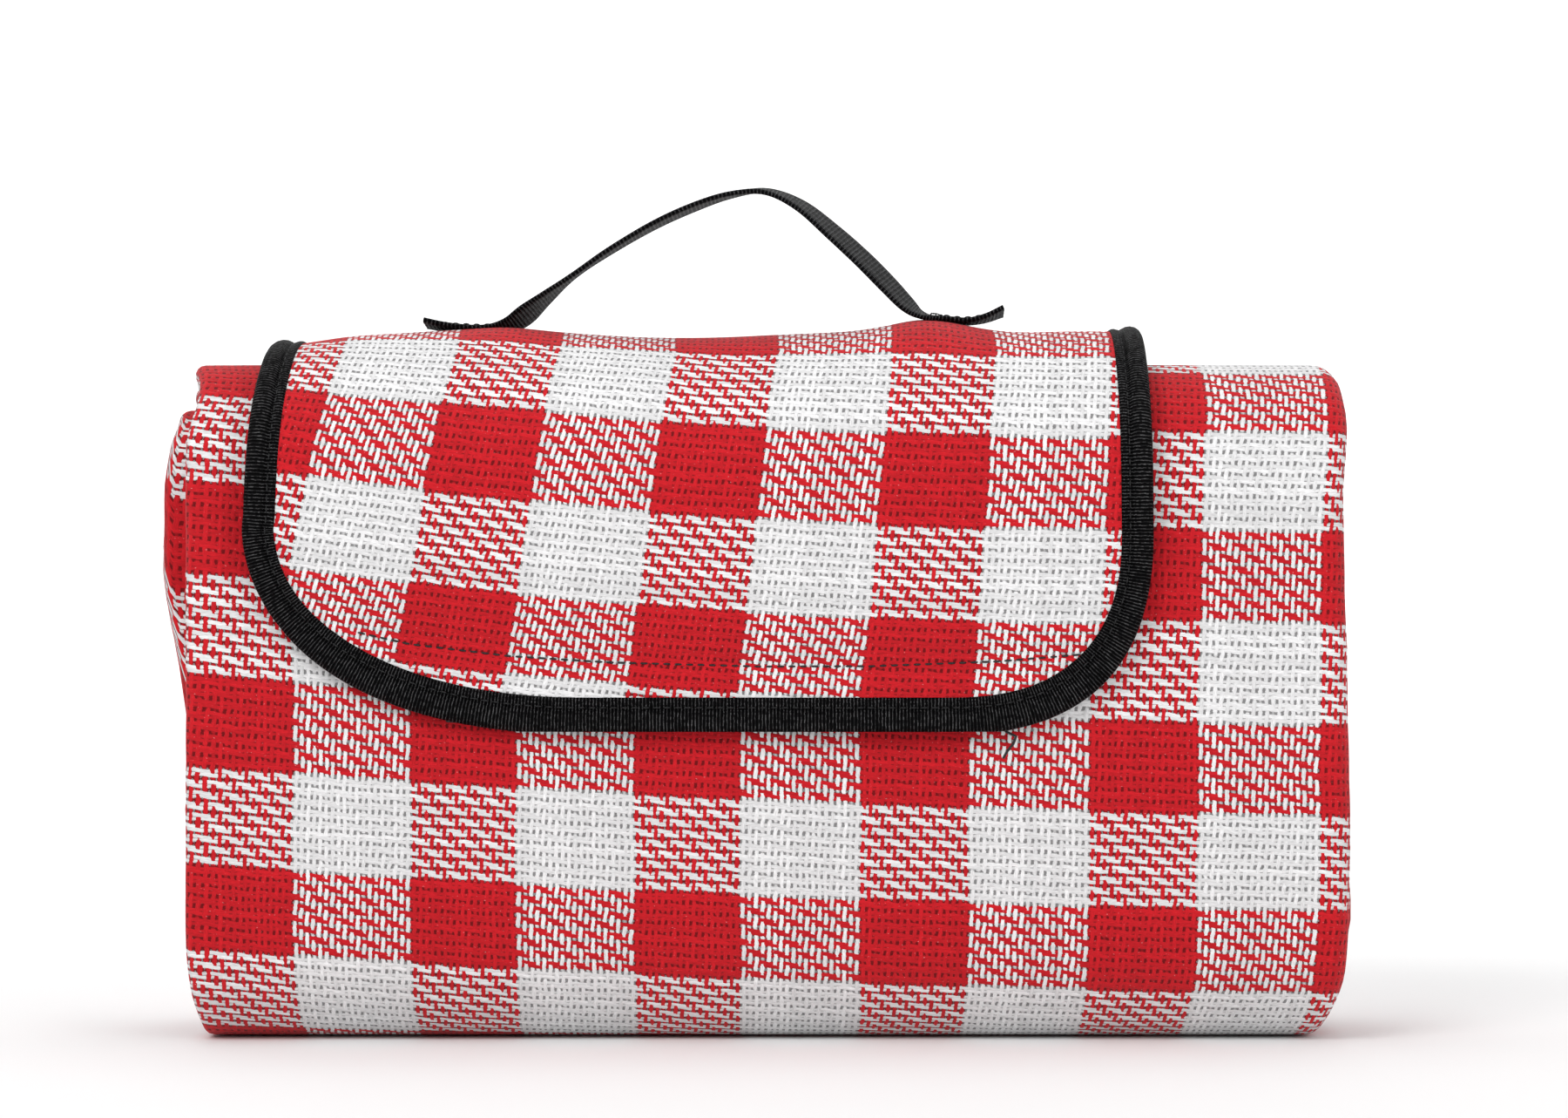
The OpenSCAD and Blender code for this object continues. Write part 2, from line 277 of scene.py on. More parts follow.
def woven_cloth():
    """Open 2/2 twill of red and white ends and picks, with the picks in pairs and holes between."""
    p = Paint("woven_gingham")
    ends, pairs = p.cloth_place()
    for stretch, reach_x, reach_y in WANDERS:
        spot = p.vector(p.math("MULTIPLY", ends, 0.5 * stretch), p.math("MULTIPLY", pairs, stretch))
        wander = p.add("ShaderNodeTexNoise", {"Vector": spot, "Scale": 1.0, "Detail": 1.0})
        drift = p.add("ShaderNodeSeparateColor", {0: wander.outputs["Color"]})
        ends = p.math("MULTIPLY_ADD", p.math("SUBTRACT", drift.outputs[0], 0.5), reach_x, ends)
        pairs = p.math("MULTIPLY_ADD", p.math("SUBTRACT", drift.outputs[1], 0.5), reach_y, pairs)

    end = p.math("FLOOR", ends)
    across = p.math("SUBTRACT", p.math("FRACT", ends), 0.5)
    pair = p.math("FLOOR", pairs)
    along = p.math("FRACT", pairs)
    second = p.math("GREATER_THAN", along, 0.5)
    pick = p.math("MULTIPLY_ADD", pair, 2.0, second)
    off = p.math("SUBTRACT", along, p.math("MULTIPLY_ADD", second, PICK_STEP, PICK_LOW))

    # Each yarn goes over two and under two. It shifts a little sideways as it rises and dives.
    fuzz = p.noise(p.vector(p.math("MULTIPLY", ends, 5.0), p.math("MULTIPLY", pairs, 9.0)), 1.0, 3)
    fuzz = p.math("SUBTRACT", fuzz, 0.5)
    quarter = math.pi / 2
    turn = p.math("SUBTRACT", p.math("MULTIPLY_ADD", pairs, 2.0, -0.5), end)
    warp_turn = p.math("MULTIPLY", p.math("SUBTRACT", turn, 0.5), quarter)
    turn = p.math("SUBTRACT", pick, p.math("SUBTRACT", ends, 0.5))
    weft_turn = p.math("MULTIPLY", p.math("SUBTRACT", turn, 0.5), quarter)
    across = p.math("MULTIPLY_ADD", p.math("SINE", warp_turn), 0.07, across)
    off = p.math("MULTIPLY_ADD", p.math("SINE", weft_turn), -0.055, off)
    across = p.math("MULTIPLY_ADD", fuzz, 0.30, across)
    off = p.math("MULTIPLY_ADD", fuzz, 0.15, off)
    warp_round = p.math("POWER", p.math("DIVIDE", across, WARP_HALF), 2.0)
    weft_round = p.math("POWER", p.math("DIVIDE", off, WEFT_HALF), 2.0)
    warp = p.math("MULTIPLY_ADD", p.math("COSINE", warp_turn), YARN_WAVE,
                  p.math("MULTIPLY", warp_round, -0.50))
    weft = p.math("MULTIPLY_ADD", p.math("COSINE", weft_turn), -YARN_WAVE,
                  p.math("MULTIPLY_ADD", weft_round, -0.45, 0.08))
    uneven = p.math("SUBTRACT", p.random(p.vector(end, pick, 1.0)), 0.5)
    warp = p.math("MULTIPLY_ADD", uneven, 0.9, warp)
    # Outside its own width a yarn falls away, so that the other one or a hole shows
    warp = p.math("SUBTRACT", warp, p.ramp(warp_round, 0.9, 1.9, 0.0, 2.0))
    weft = p.math("SUBTRACT", weft, p.ramp(weft_round, 0.9, 1.9, 0.0, 2.0))
    warp_up = p.math("GREATER_THAN", warp, weft)
    height = p.math("MAXIMUM", warp, weft)

    # Which yarn is white
    warp_white = p.math("LESS_THAN", p.math("FLOORED_MODULO", end, ENDS_ALL), ENDS_WHITE - 0.5)
    weft_white = p.math("LESS_THAN", p.math("FLOORED_MODULO", pair, PAIRS_ALL), PAIRS_WHITE - 0.5)
    warp_tone = p.ramp(p.random(p.vector(end, 3.0)), 0, 1, 0.88, 1.05)
    weft_tone = p.ramp(p.random(p.vector(pick, 8.0)), 0, 1, 0.86, 1.05)
    warp_colour = p.shade(p.mix(warp_white, RED, WHITE), warp_tone)
    weft_colour = p.shade(p.mix(weft_white, RED, WHITE), weft_tone)
    colour = p.mix(warp_up, weft_colour, warp_colour)

    # Fibres along each yarn, pale lint, and shade between yarns and in the open holes
    warp_fibre = p.noise(p.vector(p.math("MULTIPLY", ends, 9.0), p.math("MULTIPLY", pairs, 2.2)), 1)
    weft_fibre = p.noise(p.vector(ends, p.math("MULTIPLY", pairs, 16.0)), 1)
    fibre = p.add("ShaderNodeMix", {0: warp_up, 2: weft_fibre, 3: warp_fibre}).outputs[0]
    colour = p.shade(colour, p.ramp(fibre, 0.25, 0.75, 0.78, 1.10))
    lint = p.noise(p.vector(p.math("MULTIPLY", ends, 2.3), p.math("MULTIPLY", pairs, 5.5)), 1, 3)
    colour = p.mix(p.ramp(lint, 0.66, 0.76, 0.0, 0.35), colour, LINT)
    shade = p.ramp(height, -1.5, -0.35, 0.0, 1.0)
    colour = p.shade(colour, p.math("MULTIPLY_ADD", shade, 0.70, 0.30))
    relief = p.math("MULTIPLY_ADD", fibre, 0.35, p.math("MAXIMUM", height, -1.3))
    return p.finish(colour, relief, depth=0.26, strength=0.6, roughness=0.9, sheen=0.1,
                    specular=0.15)


def ribbed_tape(name, tone, rib, rows=2.1):
    """Black woven tape with fine cross ribs, some of them with a painted highlight. rib and rows are
    millimetres.
    """
    p = Paint(name)
    along, around = p.cloth_place()
    place = p.vector(along, around)
    wander = p.math("MULTIPLY", p.noise(place, 0.6), 0.5)
    ribs = p.math("SINE", p.math("MULTIPLY", p.math("ADD", along, wander), 2 * math.pi / rib))
    lines = p.math("SINE", p.math("MULTIPLY", around, 2 * math.pi / rows))
    height = p.math("MULTIPLY_ADD", lines, 0.4, ribs)
    grain = p.noise(place, 2.8, 3.0)
    height = p.math("MULTIPLY_ADD", grain, 1.0, height)
    cell = p.vector(p.math("FLOOR", p.math("DIVIDE", along, rib)),
                    p.math("FLOOR", p.math("DIVIDE", around, 0.7)))
    # Painted highlight: a pale line painted into the colour of some ribs stands in for their glints
    # of light.
    painted_glint = p.ramp(p.random(cell), 0.15, 1.0, 0.12, 1.0)
    painted_highlight = tuple(c * 7 + 0.07 for c in tone[:3]) + (1,)
    colour = p.mix(p.math("MULTIPLY", painted_glint, p.ramp(ribs, 0.15, 0.95)), tone, painted_highlight)
    colour = p.shade(colour, p.ramp(grain, 0.3, 0.7, 0.55, 1.5))
    return p.finish(colour, height, depth=0.26, strength=1.0, roughness=0.5, specular=0.03)


def pile(name, tone, scale):
    """Hook or loop pile, as a dense field of small tufts."""
    p = Paint(name)
    along, around = p.cloth_place()
    cells = p.add(
        "ShaderNodeTexVoronoi", {"Vector": p.vector(along, around), "Scale": scale}
    ).outputs["Distance"]
    grain = p.noise(p.vector(along, around), 3.0, 3.0)
    colour = p.shade(tone, p.ramp(grain, 0.3, 0.7, 0.5, 1.8))
    height = p.math("SUBTRACT", grain, p.math("MULTIPLY", cells, 1.4))
    return p.finish(colour, height, depth=0.5, strength=0.9, roughness=0.85, sheen=0.3,
                    specular=0.2)


FILM_TONE = (0.52, 0.54, 0.56, 1)
FILM_GRID = 5.0             # spacing of the film's embossed grid


def film():
    """Grey backing film with fine creases and an embossed grid."""
    p = Paint("backing_film")
    along, around = p.cloth_place()
    place = p.vector(along, around)
    creases = p.noise(place, 0.12, 6.0)
    squares = p.math(
        "MAXIMUM",
        p.math("SINE", p.math("MULTIPLY", along, 2 * math.pi / FILM_GRID)),
        p.math("SINE", p.math("MULTIPLY", around, 2 * math.pi / FILM_GRID)),
    )
    height = p.math("MULTIPLY_ADD", squares, 0.15, p.math("MULTIPLY", creases, 1.6))
    # Painted shade and light: the film is darker where its creases lie low and lighter where they
    # stand high.
    colour = p.shade(FILM_TONE, p.ramp(creases, 0.3, 0.7, 0.85, 1.1))
    return p.finish(colour, height, depth=0.8, strength=0.5, roughness=0.38, specular=0.5)


def thread(name, tone):
    """Twisted sewing thread."""
    p = Paint(name)
    along, around = p.cloth_place()
    twist = p.math("SINE", p.math("MULTIPLY_ADD", along, 9.0, p.math("MULTIPLY", around, 5.0)))
    grain = p.noise(p.vector(along, around), 2.0)
    colour = p.shade(tone, p.ramp(grain, 0.3, 0.7, 0.7, 1.4))
    return p.finish(colour, twist, depth=0.08, strength=0.8, roughness=0.5, specular=0.4)


CLOTH = woven_cloth()
TAPE = ribbed_tape("binding_tape", (0.0016, 0.0015, 0.0018, 1), rib=1.05)
WEBBING = ribbed_tape("handle_webbing", (0.0017, 0.0017, 0.0022, 1), rib=1.2, rows=1.6)
LOOPS = pile("loop_pile", (0.016, 0.015, 0.017, 1), 1.1)
HOOKS = pile("hook_pile", (0.012, 0.012, 0.013, 1), 0.9)
FILM = film()
THREAD = thread("black_thread", (0.012, 0.012, 0.013, 1))

# ---------- the rolled blanket ----------

PITCH = 14.0                # from one strip of four layers to the next
STRIP = 6.8                 # half the thickness of a strip
PACK_Y = PACK_LO[1] + 3 * PITCH + STRIP
ROLL_Y = PACK_Y - PITCH / 2
PACK_TOP = 206.0            # the top of the roll, where it isn't covered by its outer end
TOP_Z = PACK_TOP - 2.5 * PITCH - STRIP      # where the top turns start
INNER_Z = 3 * PITCH + STRIP                 # where the inner bottom turns start
CORNER_R = 22.0             # radius of the packet's two lower corners
LOW_Z = CORNER_R + STRIP
CORE_Z = INNER_Z + 1        # the blanket's inner end
HALF_W = PACK_HI[0]
END_R = 3.5 * PITCH         # radius of the blanket's outer end over the top
END_TURN, TUCK_TURN = 30.0, 58.0        # degrees that half A and half B reach over the top


def arc(y, z, r, start, stop, count):
    """Points and outward normals of a turn of the roll. 0 degrees is the back, 90 the top."""
    angle = np.radians(np.linspace(start, stop, count + 1)[1:])
    normal = np.stack((np.cos(angle), np.sin(angle)), 1)
    return np.array((y, z)) + r * normal, normal


def straight(y, z_from, z_to, side, count):
    """Points and outward normals of a straight run of the roll."""
    z = np.linspace(z_from, z_to, count + 1)[1:]
    return np.stack((np.full(count, y), z), 1), np.tile((side, 0.0), (count, 1))


def roll_line():
    """The middle line of the rolled strip with its normals, and the row where the end turn starts."""
    y = PACK_Y
    parts = [(np.array([[y, CORE_Z]]), np.array([[1.0, 0.0]])), straight(y, CORE_Z, TOP_Z, 1, 14)]
    parts.append(arc(ROLL_Y, TOP_Z, 0.5 * PITCH, 0, 180, 8))
    for k in (1, 2):
        parts.append(straight(y - k * PITCH, TOP_Z, INNER_Z, -1, 16))
        parts.append(arc(y, INNER_Z, k * PITCH, 180, 360, 8 + 3 * k))
        parts.append(straight(y + k * PITCH, INNER_Z, TOP_Z, 1, 16))
        parts.append(arc(ROLL_Y, TOP_Z, (k + 0.5) * PITCH, 0, 180, 12 + 6 * k))
    side = 3 * PITCH
    parts.append(straight(y - side, TOP_Z, LOW_Z, -1, 24))
    parts.append(arc(y - side + CORNER_R, LOW_Z, CORNER_R, 180, 270, 10))
    across = np.linspace(y - side + CORNER_R, y + side - CORNER_R, 8)[1:]
    parts.append((np.stack((across, np.full(7, STRIP)), 1), np.tile((0.0, -1.0), (7, 1))))
    parts.append(arc(y + side - CORNER_R, LOW_Z, CORNER_R, 270, 360, 10))
    parts.append(straight(y + side, LOW_Z, TOP_Z, 1, 24))
    start = sum(len(part[0]) for part in parts)
    parts.append(arc(ROLL_Y, TOP_Z, END_R, 0, END_TURN, 10))
    return np.vstack([a for a, _ in parts]), np.vstack([b for _, b in parts]), start


MIDDLE, OUTWARD, END_ROW = roll_line()
ROWS = len(MIDDLE)
MIDDLE_RUN = run_length(MIDDLE)
FRONT_ROW = int(np.argmin(np.abs(MIDDLE[:, 0] - (PACK_Y - 3 * PITCH)) * 100
                          + np.abs(MIDDLE[:, 1] - TOP_Z)))
SKIN = STRIP - 0.3          # how far the outer cloth lies from the middle of the strip
INSIDE = 0.4                # and the cloth that lies inside the fold
ENDS_START = 142.0          # a white band of ends starts this far left of the middle
PAIRS_START = 20.9          # and a white band of pairs this far above the front's top


def fold_profile():
    """Across the sheet: x, distance from the strip's middle, and how much it belongs to half B."""
    small = (SKIN - INSIDE) / 2
    left = -HALF_W + small
    right = HALF_W - SKIN
    hem = HALF_W - 7
    rows = [(x, INSIDE, 0.0) for x in np.linspace(hem, left, 15)]
    for a in np.radians(np.linspace(0, 180, 8)[1:-1]):
        rows.append((left - small * math.sin(a), INSIDE + small * (1 - math.cos(a)), 0.0))
    rows += [(x, SKIN, 0.0) for x in np.linspace(left, right, 58)]
    for a in np.linspace(0, 180, 13)[1:-1]:
        t = math.radians(a)
        rows.append((right + SKIN * math.sin(t), SKIN * math.cos(t), a / 180))
    rows += [(x, -SKIN, 1.0) for x in np.linspace(right, left, 30)]
    for a in np.radians(np.linspace(0, 180, 8)[1:-1]):
        rows.append((left - small * math.sin(a), -SKIN + small * (1 - math.cos(a)), 1.0))
    rows += [(x, -INSIDE, 1.0) for x in np.linspace(left, hem, 15)]
    return np.array(rows)


PROFILE = fold_profile()
COLS = len(PROFILE)
OUTER_COL = int(np.argmax((PROFILE[:, 1] > SKIN - 0.01) & (PROFILE[:, 0] > 0)))


def blanket_points():
    """The whole sheet as a grid: rows along the roll, columns across the fold."""
    x = np.tile(PROFILE[:, 0], (ROWS, 1))
    offset = np.tile(PROFILE[:, 1], (ROWS, 1))
    half_b = PROFILE[:, 2]
    y = MIDDLE[:, None, 0] + offset * OUTWARD[:, None, 0]
    z = MIDDLE[:, None, 1] + offset * OUTWARD[:, None, 1]
    # Half B, on the inside, reaches further over the top than half A
    for row in range(END_ROW, ROWS):
        share = (row - END_ROW + 1) / (ROWS - END_ROW)
        turn = np.radians(share * (END_TURN + (TUCK_TURN - END_TURN) * half_b))
        y[row] = ROLL_Y + (END_R + offset[row]) * np.cos(turn)
        z[row] = TOP_Z + (END_R + offset[row]) * np.sin(turn)
    return x, y, z, offset


def soften(y, z):
    """Tucks the packet's lower corners in and lets its faces belly a little."""
    tuck = 1 - 0.13 * np.clip((48 - z) / 48, 0, 1) ** 2
    belly = 1 + 0.018 * np.sin(np.pi * np.clip(z / 190, 0, 1))
    y = PACK_Y + (y - PACK_Y) * tuck * belly
    z = z + 1.2 * hump(z, 0, 20) * np.clip(np.abs(y - PACK_Y) / 40, 0, 1) ** 2
    return y, z


def side_shift(z, run, last):
    """How far each row stands out at its left and right fold. last is 1 on the strip that shows."""
    wander = np.array([
        [noise.noise(Vector((r / 95.0, side, 4.2))) + 0.5 * noise.noise(Vector((r / 31.0, side, 9.1)))
         + 0.3 * noise.noise(Vector((r / 9.0, side, 2.7))) for r in run]
        for side in (0.0, 5.0)
    ])
    inner = 1 - last
    # The inner strips stand out high at the left and low at the right
    left = inner * (8.5 * hump(z, 148, 44) - 1.5) + 2.2 * wander[0] * (0.4 + 0.6 * inner)
    right = inner * (3.4 * hump(z, 46, 46) - 0.3) + 2.2 * wander[1] * (0.4 + 0.6 * inner)
    # The strip that shows is drawn in at the packet's lower corners and at the left of its top
    left = left - last * (2.2 + 6.5 * smooth_step(178, 200, z) + 3.6 * hump(z, 0, 16))
    right = right + last * (0.6 + 1.4 * hump(z, 60, 50) - 6.0 * hump(z, 0, 14)
                            + 3.4 * smooth_step(165, 200, z))
    return left, right


def weave_fall(x):
    """How much lower the weft bands lie at x than at the right, from the cloth's skew."""
    across = np.clip(148 - x, -40, 400)
    return 0.019 * across + 0.0000856 * across ** 2


def make_blanket():
    """The blanket as one sheet, and its grid of points."""
    x, y, z, offset = blanket_points()
    # Cloth coordinates: each column's own length along the roll, counted from the front's top
    run = np.stack([run_length(np.stack((y[:, c], z[:, c]), 1)) for c in range(COLS)], 1)
    run -= run[FRONT_ROW]
    cross = run_length(PROFILE[:, :2])
    cross = cross - cross[OUTER_COL] + PROFILE[OUTER_COL, 0]
    ends = np.tile((cross + ENDS_START) / END + 1.3 * hump(cross, -177, 9), (ROWS, 1))
    # The columns at the right lean outwards towards the top
    lean = 4.0 * (1 - smooth_step(-50, 110, run)) * smooth_step(70, 150, cross)[None, :]
    ends = ends - lean / END
    pairs = (run + PAIRS_START + weave_fall(cross)[None, :]) / PAIR
    pairs = pairs + 0.9 * smooth_step(85, 140, run)
    uvs = np.stack((ends, pairs), 2) / UV_UNIT

    last = smooth_step(MIDDLE_RUN[FRONT_ROW] - 70, MIDDLE_RUN[FRONT_ROW] - 10, MIDDLE_RUN)
    left, right = side_shift(MIDDLE[:, 1], MIDDLE_RUN, last)
    share = PROFILE[:, 0] / HALF_W
    x = x + np.where(share < 0, -left[:, None], right[:, None]) * np.abs(share) ** 1.5
    y, z = soften(y, z)

    # Soft waves, on the cloth that shows
    wide = np.broadcast_to(cross, run.shape)
    waves = 0.8 * ripple(wide, run, 1, 70) + 0.35 * ripple(wide, run, 2, 24)
    shown = last[:, None] * np.clip(offset / SKIN, 0, 1) * (1 - hump(z, 0, 6))
    lift = np.clip(waves, -0.4, 1.2) * shown
    y = y + lift * OUTWARD[:, None, 0]
    z = z + lift * OUTWARD[:, None, 1]
    points = np.stack((x, y, z), 2)
    blanket = grid_object("blanket_cloth", points, uvs, CLOTH)
    return blanket, points


blanket, SHEET = make_blanket()
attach(blanket, "packet")
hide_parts("blanket_face", "blanket_foam", "blanket_film", "side_hem_tape")


HEM_REACH = 9.0             # how far the hem tape reaches in from the edge
HEM_ROUND = 24.0            # and its length round the edge


def hem(name, sheet, reach, section):
    """Tape bound over an edge of the sheet: its first row is the edge, and rows go inwards.

    section is the tape's outline, as (share of its reach, height above the cloth) pairs.
    """
    rows = []
    for c in range(sheet.shape[1]):
        line = sheet[:, c]
        along = run_length(line)
        near = max(c - 1, 0)
        far = min(c + 1, sheet.shape[1] - 1)
        side = sheet[0, far] - sheet[0, near]
        inward = line[1] - line[0]
        normal = np.cross(side, inward)
        normal /= np.linalg.norm(normal)
        ring = []
        for depth, proud in section:
            at = np.array([np.interp(max(depth, 0) * reach, along, line[:, k]) for k in range(3)])
            at += normal * proud
            at += min(depth, 0) * inward / np.linalg.norm(inward) * reach
            ring.append(at)
        rows.append(ring)
    points = np.array(rows)
    length = run_length(sheet[0])
    uvs = tube_uvs(points.shape[0], points.shape[1], length[-1], HEM_ROUND)[:, :, ::-1].copy()
    uvs[:-1, :, 0] = length[:, None] / UV_UNIT
    return grid_object(name, points, uvs, TAPE, closed_cols=True)


HEM_SECTION = [
    (1.0, 0.1), (0.9, 0.55), (0.7, 0.6), (0.62, 0.3), (0.54, 0.6), (0.25, 0.7), (0.06, 0.6),
    (-0.05, -0.2), (-0.08, -1.2), (-0.05, -2.2), (0.06, -2.7), (0.9, -2.7), (1.0, -2.3),
]
end_hem = hem("end_hem_tape_bound", SHEET[::-1], HEM_REACH, HEM_SECTION)
core_hem = hem("core_hem_tape_bound", SHEET[:, ::-1], HEM_REACH, HEM_SECTION)
for piece, node in ((end_hem, "end_hem_tape"), (core_hem, "core_hem_tape")):
    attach(piece, "packet")
    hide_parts(node)

# ---------- the flap ----------

TAPE_PROUD = 0.6                        # the binding stands this far above the flap's cloth
FLAP_OUT = SPINE_HI[1] - TAPE_PROUD     # outer face of the flap's cloth
BEND_R = 47.0                           # radius of the flap's two bends over the top
BEND_Y = FLAP_OUT - BEND_R
BEND_Z = SPINE_HI[2] - TAPE_PROUD - BEND_R
ROOT_Z = SPINE_LO[2]
EDGE_SAG = 0.6                          # the flap's lower edge hangs this far below the CAD's
FLAP_LOW = FLAP_LO[2] - EDGE_SAG


def flap_line():
    """The flap's outer line from its root at the back, over the top, to its lower front edge."""
    back = np.array([[FLAP_OUT, z] for z in np.linspace(ROOT_Z, BEND_Z, 30)])
    angles = np.radians(np.linspace(0, 90, 60))
    rear = np.stack((BEND_Y + BEND_R * np.cos(angles), BEND_Z + BEND_R * np.sin(angles)), 1)
    fore = np.stack((-BEND_Y - BEND_R * np.sin(angles), BEND_Z + BEND_R * np.cos(angles)), 1)
    front = np.array([[-FLAP_OUT, z] for z in np.linspace(BEND_Z, FLAP_LOW, 60)])
    return np.vstack((back, rear[1:], fore, front[1:]))


FLAP_LINE = flap_line()
FLAP_RUN = run_length(FLAP_LINE)
FLAP_LEN = FLAP_RUN[-1]
FRONT_RUN = FLAP_LEN - (BEND_Z - FLAP_LOW)      # where the front becomes upright
TOP_RUN = (BEND_Z - ROOT_Z) + math.pi / 2 * BEND_R + BEND_Y
SLOPE = np.gradient(FLAP_LINE, FLAP_RUN, axis=0)


def seam_z(x):
    """Height of the hook strip's seam across the flap."""
    return np.interp(x, [-121, -105, -75, -45, 0, 33, 70, 97],
                     [124.2, 120.6, 117.0, 115.1, 113.9, 114.0, 115.4, 117.6])


def run_of_z(z):
    """Place along the flap of a height on its upright front."""
    return FRONT_RUN + (BEND_Z - z)


def flap_place(x, run, proud=0.0):
    """Points on the flap, with its bulge, sag and puckers. proud is the height above its cloth."""
    x = np.asarray(x, float)
    run = np.asarray(run, float)
    y = np.interp(run, FLAP_RUN, FLAP_LINE[:, 0])
    z = np.interp(run, FLAP_RUN, FLAP_LINE[:, 1])
    slope_y = np.interp(run, FLAP_RUN, SLOPE[:, 0])
    slope_z = np.interp(run, FLAP_RUN, SLOPE[:, 1])
    size = np.sqrt(slope_y ** 2 + slope_z ** 2)
    # The line runs over the top from back to front, so its right-hand normal points outwards
    normal_y = slope_z / size
    normal_z = -slope_y / size
    down = np.clip((run - FRONT_RUN + 40) / (FLAP_LEN - FRONT_RUN + 40), 0, 1)
    swell = 2.4 * np.sin(np.pi * down) ** 1.2
    # On top, the handle's ends pull the flap up, and it sags between them and at its left edge
    over = hump(run, TOP_RUN, 34)
    swell += over * (4.2 * hump(x, 51, 17) + 1.6 * hump(x, -80, 16))
    swell += over * (-2.2 * hump(x, -22, 34) - 4.8 * hump(x, -152, 22))
    swell += 0.7 * ripple(x, run, 3, 46) + 0.3 * ripple(x, run, 4, 19)
    # The hook strip's seam draws the cloth in
    front = smooth_step(FRONT_RUN - 10, FRONT_RUN + 20, run)
    seam = run - run_of_z(seam_z(x))
    swell += front * (-0.9 * hump(seam, 0, 3.0) - 0.5 * hump(seam, 0, 10))
    height = swell + proud
    return np.stack((x, y + normal_y * height, z + normal_z * height), -1)


CORNER_LEFT = (104.0, 64.0)     # width and height of the flap's lower corners
CORNER_RIGHT = (62.0, 60.0)
ROOT_R = 14.0                   # radius of the two corners at its root


def flap_edges():
    """The flap's outline as points of (x, run), closed, going round."""
    left, right = FLAP_LO[0] - 0.8, FLAP_HI[0] - 0.2
    low = FLAP_LEN
    points = []
    for run in np.linspace(ROOT_R, low - CORNER_LEFT[1], 40):
        points.append((left + 5.5 * hump(run, TOP_RUN, 60), run))
    for a in np.radians(np.linspace(0, 90, 40)[1:]):
        points.append((left + CORNER_LEFT[0] * (1 - abs(math.cos(a)) ** 0.91),
                       low - CORNER_LEFT[1] * (1 - math.sin(a) ** 0.91)))
    for a in np.radians(np.linspace(90, 0, 40)):
        points.append((right - CORNER_RIGHT[0] * (1 - abs(math.cos(a)) ** 0.83),
                       low - CORNER_RIGHT[1] * (1 - math.sin(a) ** 0.83)))
    for run in np.linspace(low - CORNER_RIGHT[1], ROOT_R, 40)[1:]:
        points.append((right - 0.8 * hump(run, TOP_RUN, 60), run))
    for a in np.radians(np.linspace(0, 90, 12)[1:]):
        points.append((right - ROOT_R * (1 - math.cos(a)), ROOT_R * (1 - math.sin(a))))
    for a in np.radians(np.linspace(90, 0, 12)[:-1]):
        points.append((left + ROOT_R * (1 - math.cos(a)), ROOT_R * (1 - math.sin(a))))
    return np.array(points)


OUTLINE = resample(flap_edges(), 2.4, closed=True)


def inset(outline, depth):
    """The outline moved inwards."""
    tangent = np.roll(outline, -1, 0) - np.roll(outline, 1, 0)
    tangent /= np.linalg.norm(tangent, axis=1)[:, None]
    inward = np.stack((tangent[:, 1], -tangent[:, 0]), 1)
    return outline + inward * depth


def outline_sides(outline):
    """An outline's left and right halves, each in order of run."""
    middle = (outline[:, 0].min() + outline[:, 0].max()) / 2
    sides = []
    for side in (-1, 1):
        part = outline[(outline[:, 0] - middle) * side > 0]
        part = part[np.argsort(part[:, 1])]
        sides.append(part)
    return sides


def flap_grid(depth, columns=84, spacing=3.2):
    """A grid of (x, run) that fills the flap's outline, inset by a depth, closer at its root."""
    outline = inset(OUTLINE, depth)
    left, right = outline_sides(outline)
    low, high = outline[:, 1].min() + 0.05, outline[:, 1].max() - 0.05
    count = int((high - low) / spacing)
    runs = low + (high - low) * (0.5 - 0.5 * np.cos(np.linspace(0, np.pi, count + 1))) * 0.25
    runs += (high - low) * np.linspace(0, 1, count + 1) * 0.75
    xs = []
    for run in runs:
        a = np.interp(run, left[:, 1], left[:, 0])
        b = np.interp(run, right[:, 1], right[:, 0])
        xs.append(np.linspace(a, b, columns))
    return np.array(xs), np.tile(runs[:, None], (1, columns))


def flap_weave(x, run):
    """Cloth coordinates on the flap, which was cut a little askew."""
    fall = BEND_Z - (run - FRONT_RUN)           # the height each place would have if upright
    lean = 0.11 - 0.0006 * x
    ends = (x - lean * np.clip(fall - 156.7, -60, 60) + 138.0) / 1.897
    below = 160.4 - 0.058 * x + 0.00027 * x ** 2 - fall
    pairs = below / 3.42 + 0.00035 * np.where(below > 0, below ** 2, 0)
    pairs = pairs - 0.75 * (1 - smooth_step(-5, 50, below))
    return np.stack((ends, pairs), -1) / UV_UNIT


def under_binding(x, run):
    """How far the flap's cloth is pressed down where the binding covers it."""
    gap = np.min([np.hypot(x - a, run - b) for a, b in OUTLINE], axis=0)
    return -0.9 * (1 - smooth_step(7.2, 9.8, gap))


CLOTH_INSET = 3.0           # how far in from the flap's edge its cloth and lining end


def make_flap():
    """The flap's face cloth and its lining."""
    x, run = flap_grid(CLOTH_INSET)
    pressed = under_binding(x, run)
    face = grid_object("flap_cloth", flap_place(x, run, pressed), flap_weave(x, run), CLOTH)
    x, run = flap_grid(CLOTH_INSET, columns=60, spacing=5.0)
    uvs = np.stack((x, run), 2) / UV_UNIT
    lining = grid_object("flap_film_lining", flap_place(x, run, -LAYER), uvs, FILM, flip=True)
    return face, lining


